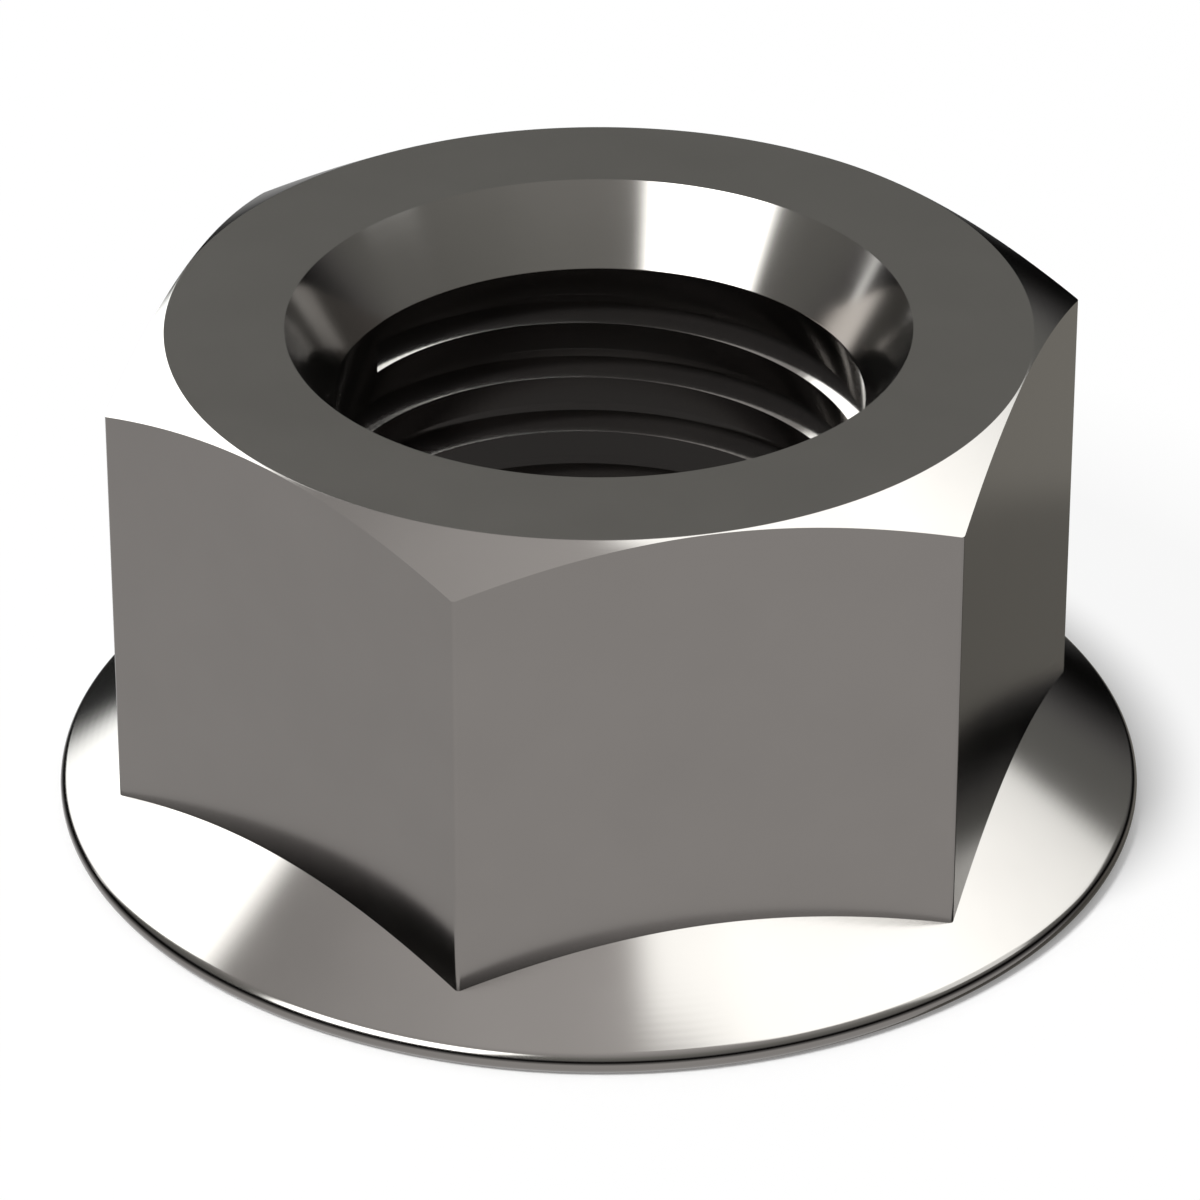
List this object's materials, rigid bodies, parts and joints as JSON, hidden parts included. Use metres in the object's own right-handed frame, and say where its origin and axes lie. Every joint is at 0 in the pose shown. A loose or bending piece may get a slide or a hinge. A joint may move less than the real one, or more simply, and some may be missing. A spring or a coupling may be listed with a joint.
{
  "type": "hexagon flange nut",
  "caption": "Hexagon nut with a sloping round flange at its bearing end, a chamfered top face and a countersunk through thread.",
  "frame": {"origin": "centre of the flat bearing face under the flange", "axes": "+Z along the thread axis, from the bearing face towards the chamfered top face; two corners of the hexagon on X and two flats facing along Y"},
  "size_m": [0.0182, 0.0182, 0.0087],
  "materials": {
    "polished_steel": "dark polished"
  },
  "bodies": {
    "root": {"flange_nut": "polished_steel"}
  },
  "joints": []
}
